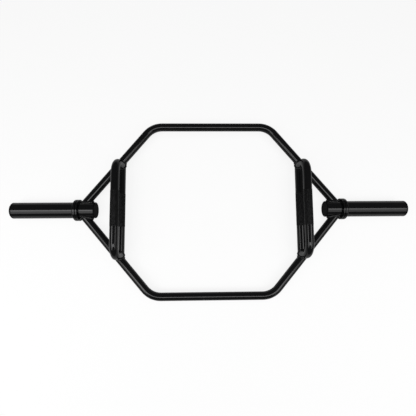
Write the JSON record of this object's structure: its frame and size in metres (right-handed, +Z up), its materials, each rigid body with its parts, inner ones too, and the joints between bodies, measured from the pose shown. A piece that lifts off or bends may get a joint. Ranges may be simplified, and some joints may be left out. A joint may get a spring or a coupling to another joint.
{
  "type": "hex trap bar",
  "caption": "Hexagonal trap bar of bent steel tube with low and raised knurled grips and turning plate sleeves on both ends, for lifting weight plates from inside the frame.",
  "frame": {"origin": "on the floor under the middle of the hexagon, at the height of the flanges' lowest points", "axes": "+X along the common axis of the two plate sleeves to the right-hand one, +Y towards the rear long bar, +Z up to the raised grips"},
  "size_m": [1.24, 0.5634, 0.1212],
  "materials": {
    "black_paint": "gloss black enamel, worn matte on the knurled grips",
    "plug_plastic": "smooth black moulded plastic",
    "bushing_bronze": "bored bronze, oiled",
    "bare_steel": "turned bright steel"
  },
  "bodies": {
    "frame": {"frame_tube_rear": "black_paint", "frame_tube_front": "black_paint", "low_handle_left": "black_paint", "raised_handle_left": "black_paint", "low_handle_welds_left": "black_paint", "raised_handle_welds_left": "black_paint", "hub_welds_left": "black_paint", "hub_tube_left": "black_paint", "hub_flange_left": "black_paint", "spindle_left": "bare_steel", "hub_plug_left": "plug_plastic", "thrust_washer_left": "bushing_bronze", "retaining_washer_left": "bare_steel", "retaining_ring_left": "bare_steel", "low_handle_right": "black_paint", "raised_handle_right": "black_paint", "low_handle_welds_right": "black_paint", "raised_handle_welds_right": "black_paint", "hub_welds_right": "black_paint", "hub_tube_right": "black_paint", "hub_flange_right": "black_paint", "spindle_right": "bare_steel", "hub_plug_right": "plug_plastic", "thrust_washer_right": "bushing_bronze", "retaining_washer_right": "bare_steel", "retaining_ring_right": "bare_steel"},
    "sleeve_left": {"sleeve_tube_left": "black_paint", "sleeve_flange_left": "black_paint", "inner_bushing_left": "bushing_bronze", "outer_bushing_left": "bushing_bronze", "sleeve_end_cap_left": "plug_plastic"},
    "sleeve_right": {"sleeve_tube_right": "black_paint", "sleeve_flange_right": "black_paint", "inner_bushing_right": "bushing_bronze", "outer_bushing_right": "bushing_bronze", "sleeve_end_cap_right": "plug_plastic"}
  },
  "joints": [
    {"name": "sleeve_left_spin", "type": "hinge", "parent": "frame", "child": "sleeve_left", "pos_m": [-0.522, 0, 0.0335], "axis": [1, 0, 0], "continuous": true},
    {"name": "sleeve_right_spin", "type": "hinge", "parent": "frame", "child": "sleeve_right", "pos_m": [0.522, 0, 0.0335], "axis": [1, 0, 0], "continuous": true}
  ]
}
